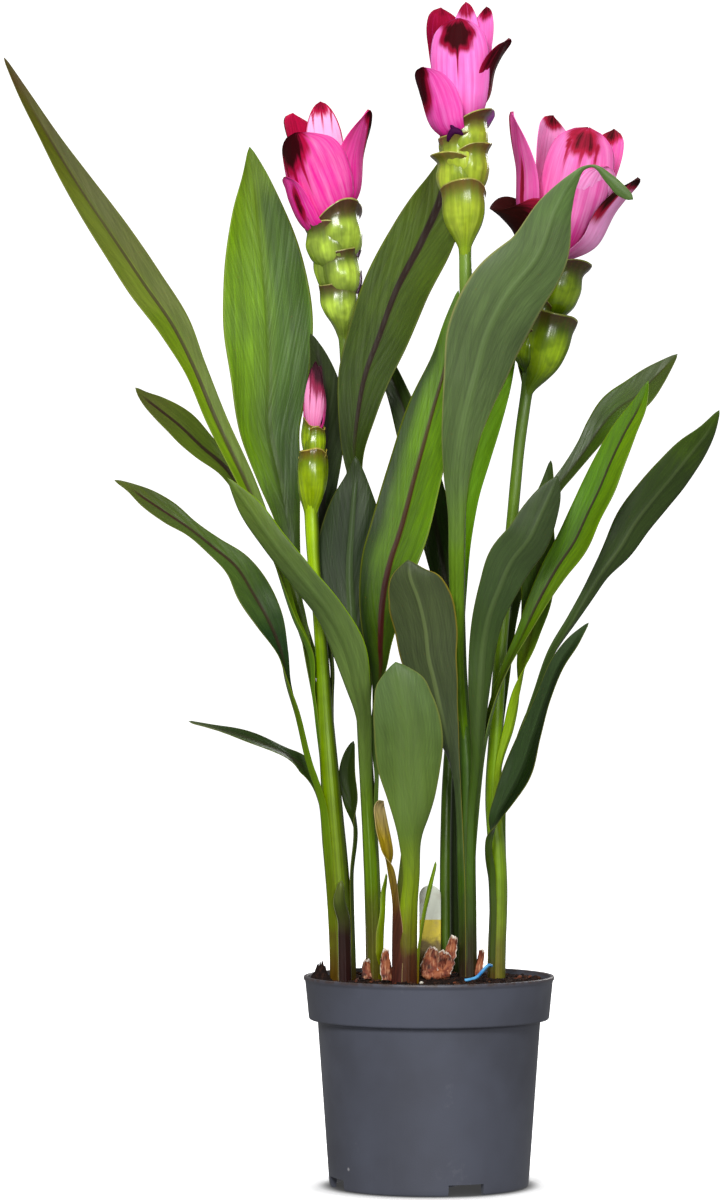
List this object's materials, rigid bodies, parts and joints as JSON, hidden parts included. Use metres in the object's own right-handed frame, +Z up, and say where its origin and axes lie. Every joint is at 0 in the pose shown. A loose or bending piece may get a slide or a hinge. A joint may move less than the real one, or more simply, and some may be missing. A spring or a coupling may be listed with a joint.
{
  "type": "potted siam tulip",
  "caption": "Potted siam tulip: pink flower heads with green pouched bracts on leafy shoots that stand in soil in a plain round nursery pot with a flat foot.",
  "frame": {"origin": "middle of the pot's underside, on the surface that the pot stands on", "axes": "+Z up, front of the plant towards -Y, +X to the viewer's right"},
  "size_m": [0.3431, 0.1216, 0.5728],
  "materials": {
    "pot_plastic": "matte slate grey moulded polypropylene, slightly dusty",
    "soil": "loose dark peat and bark mix with a few white grains",
    "label": "thin blank plastic strip, white with one yellow end",
    "tie": "smooth blue plastic cord",
    "rhizome_skin": "dry papery red-brown skin",
    "stalk": "smooth fleshy green, fibrous streaks, satin",
    "pink": "waxy pink bracts with darker dots and dark red tips, satin",
    "leaf_olive": "olive green blade with fine parallel veins, satin",
    "leaf_bright": "bright yellow-green blade with a dark red midrib, satin",
    "leaf_grey": "grey-green underside of a blade with fine ridges, dull",
    "leaf_dark": "dark green blade with fine parallel veins, satin",
    "leaf_dry": "dried brown sheath and blade, papery"
  },
  "bodies": {
    "root": {"nursery_pot": "pot_plastic", "potting_soil": "soil", "plant_label": "label", "blue_tie": "tie", "rhizome_skin": "rhizome_skin", "stem_young": "stalk", "stem_slim": "stalk", "stem_rear": "stalk", "flower_stalk_left": "stalk", "pink_head_left": "pink", "flower_stalk_middle": "stalk", "pink_head_middle": "pink", "flower_stalk_right": "stalk", "pink_head_right": "pink", "flower_stalk_bud": "stalk", "pink_head_bud": "pink", "leaf_long_left": "leaf_olive", "leaf_broad_left": "leaf_olive", "leaf_olive_left": "leaf_olive", "leaf_twisted_left": "leaf_dark", "leaf_low_left": "leaf_dark", "leaf_behind_bud": "leaf_dark", "leaf_small_dark": "leaf_dark", "sheath_bud": "leaf_olive", "leaf_crossing_left": "leaf_grey", "leaf_dark_middle": "leaf_dark", "leaf_tall_middle": "leaf_olive", "leaf_bright_middle": "leaf_bright", "sheath_left": "leaf_olive", "leaf_round_front": "leaf_grey", "leaf_dry_brown": "leaf_dry", "leaf_thin_spike": "leaf_bright", "leaf_rear_bright": "leaf_bright", "leaf_rear_dark": "leaf_dark", "leaf_grey_front": "leaf_grey", "leaf_round_middle": "leaf_grey", "leaf_grey_right": "leaf_grey", "leaf_bright_right": "leaf_bright", "leaf_far_right": "leaf_grey", "leaf_low_right": "leaf_dark", "leaf_upper_right": "leaf_olive", "leaf_behind_right": "leaf_bright"}
  },
  "joints": []
}
